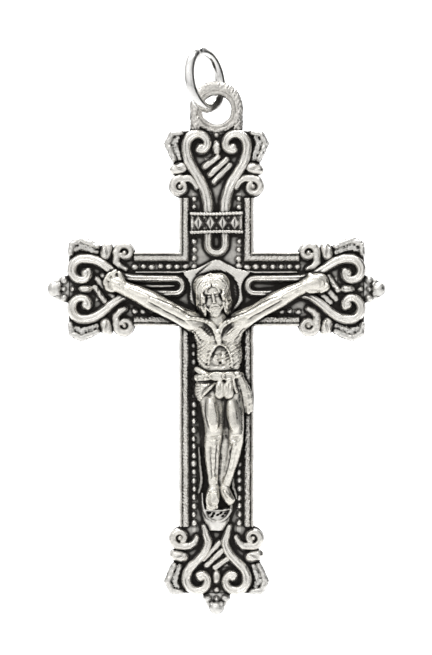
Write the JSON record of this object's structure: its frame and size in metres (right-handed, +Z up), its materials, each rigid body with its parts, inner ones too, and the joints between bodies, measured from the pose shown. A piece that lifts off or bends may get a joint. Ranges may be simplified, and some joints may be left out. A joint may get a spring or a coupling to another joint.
{
  "type": "crucifix pendant",
  "caption": "Small cast crucifix pendant with scrolled bar ends, beaded rims, a figure, a lozenge scroll and a wire ring through its loop.",
  "frame": {"origin": "on the flat back, behind the crossing of the middle lines of the two bars", "axes": "+Z up the cross towards its loop, +Y out of the flat back, +X towards the right arm as seen from the front"},
  "size_m": [0.0322, 0.0055, 0.0538],
  "materials": {
    "cast_ground": "oxidised antique silver, dark and grainy",
    "cast_relief": "antique silver, rubbed bright on the high places",
    "figure": "antique silver, smooth and slightly warm",
    "ring_wire": "bright drawn wire"
  },
  "bodies": {
    "casting": {"cross_plate": "cast_ground", "rim_upper_left": "cast_relief", "beads_upper_left": "cast_relief", "rim_upper_right": "cast_relief", "beads_upper_right": "cast_relief", "rim_lower_left": "cast_relief", "beads_lower_left": "cast_relief", "rim_lower_right": "cast_relief", "beads_lower_right": "cast_relief", "top_lyre": "cast_relief", "top_lattice": "cast_ground", "top_volute_a": "cast_relief", "top_leaf_a": "cast_relief", "top_corner_a": "cast_relief", "top_volute_b": "cast_relief", "top_leaf_b": "cast_relief", "top_corner_b": "cast_relief", "left_lyre": "cast_relief", "left_lattice": "cast_ground", "left_volute_a": "cast_relief", "left_leaf_a": "cast_relief", "left_corner_a": "cast_relief", "left_volute_b": "cast_relief", "left_leaf_b": "cast_relief", "left_corner_b": "cast_relief", "left_finial": "cast_relief", "bottom_lyre": "cast_relief", "bottom_lattice": "cast_ground", "bottom_volute_a": "cast_relief", "bottom_leaf_a": "cast_relief", "bottom_corner_a": "cast_relief", "bottom_volute_b": "cast_relief", "bottom_leaf_b": "cast_relief", "bottom_corner_b": "cast_relief", "bottom_finial": "cast_relief", "right_lyre": "cast_relief", "right_lattice": "cast_ground", "right_volute_a": "cast_relief", "right_leaf_a": "cast_relief", "right_corner_a": "cast_relief", "right_volute_b": "cast_relief", "right_leaf_b": "cast_relief", "right_corner_b": "cast_relief", "right_finial": "cast_relief", "centre_panel": "cast_relief", "figure_bed": "cast_ground", "title_scroll": "cast_relief", "footrest": "cast_relief", "corpus": "figure", "bail_loop": "cast_relief"},
    "ring": {"jump_ring": "ring_wire"}
  },
  "joints": [
    {"name": "jump_ring_swing", "type": "hinge", "parent": "casting", "child": "ring", "pos_m": [-0.00061, -0.00123, 0.01906], "axis": [0.841, -0.5299, 0.1092], "range_deg": [-150, 50]}
  ]
}
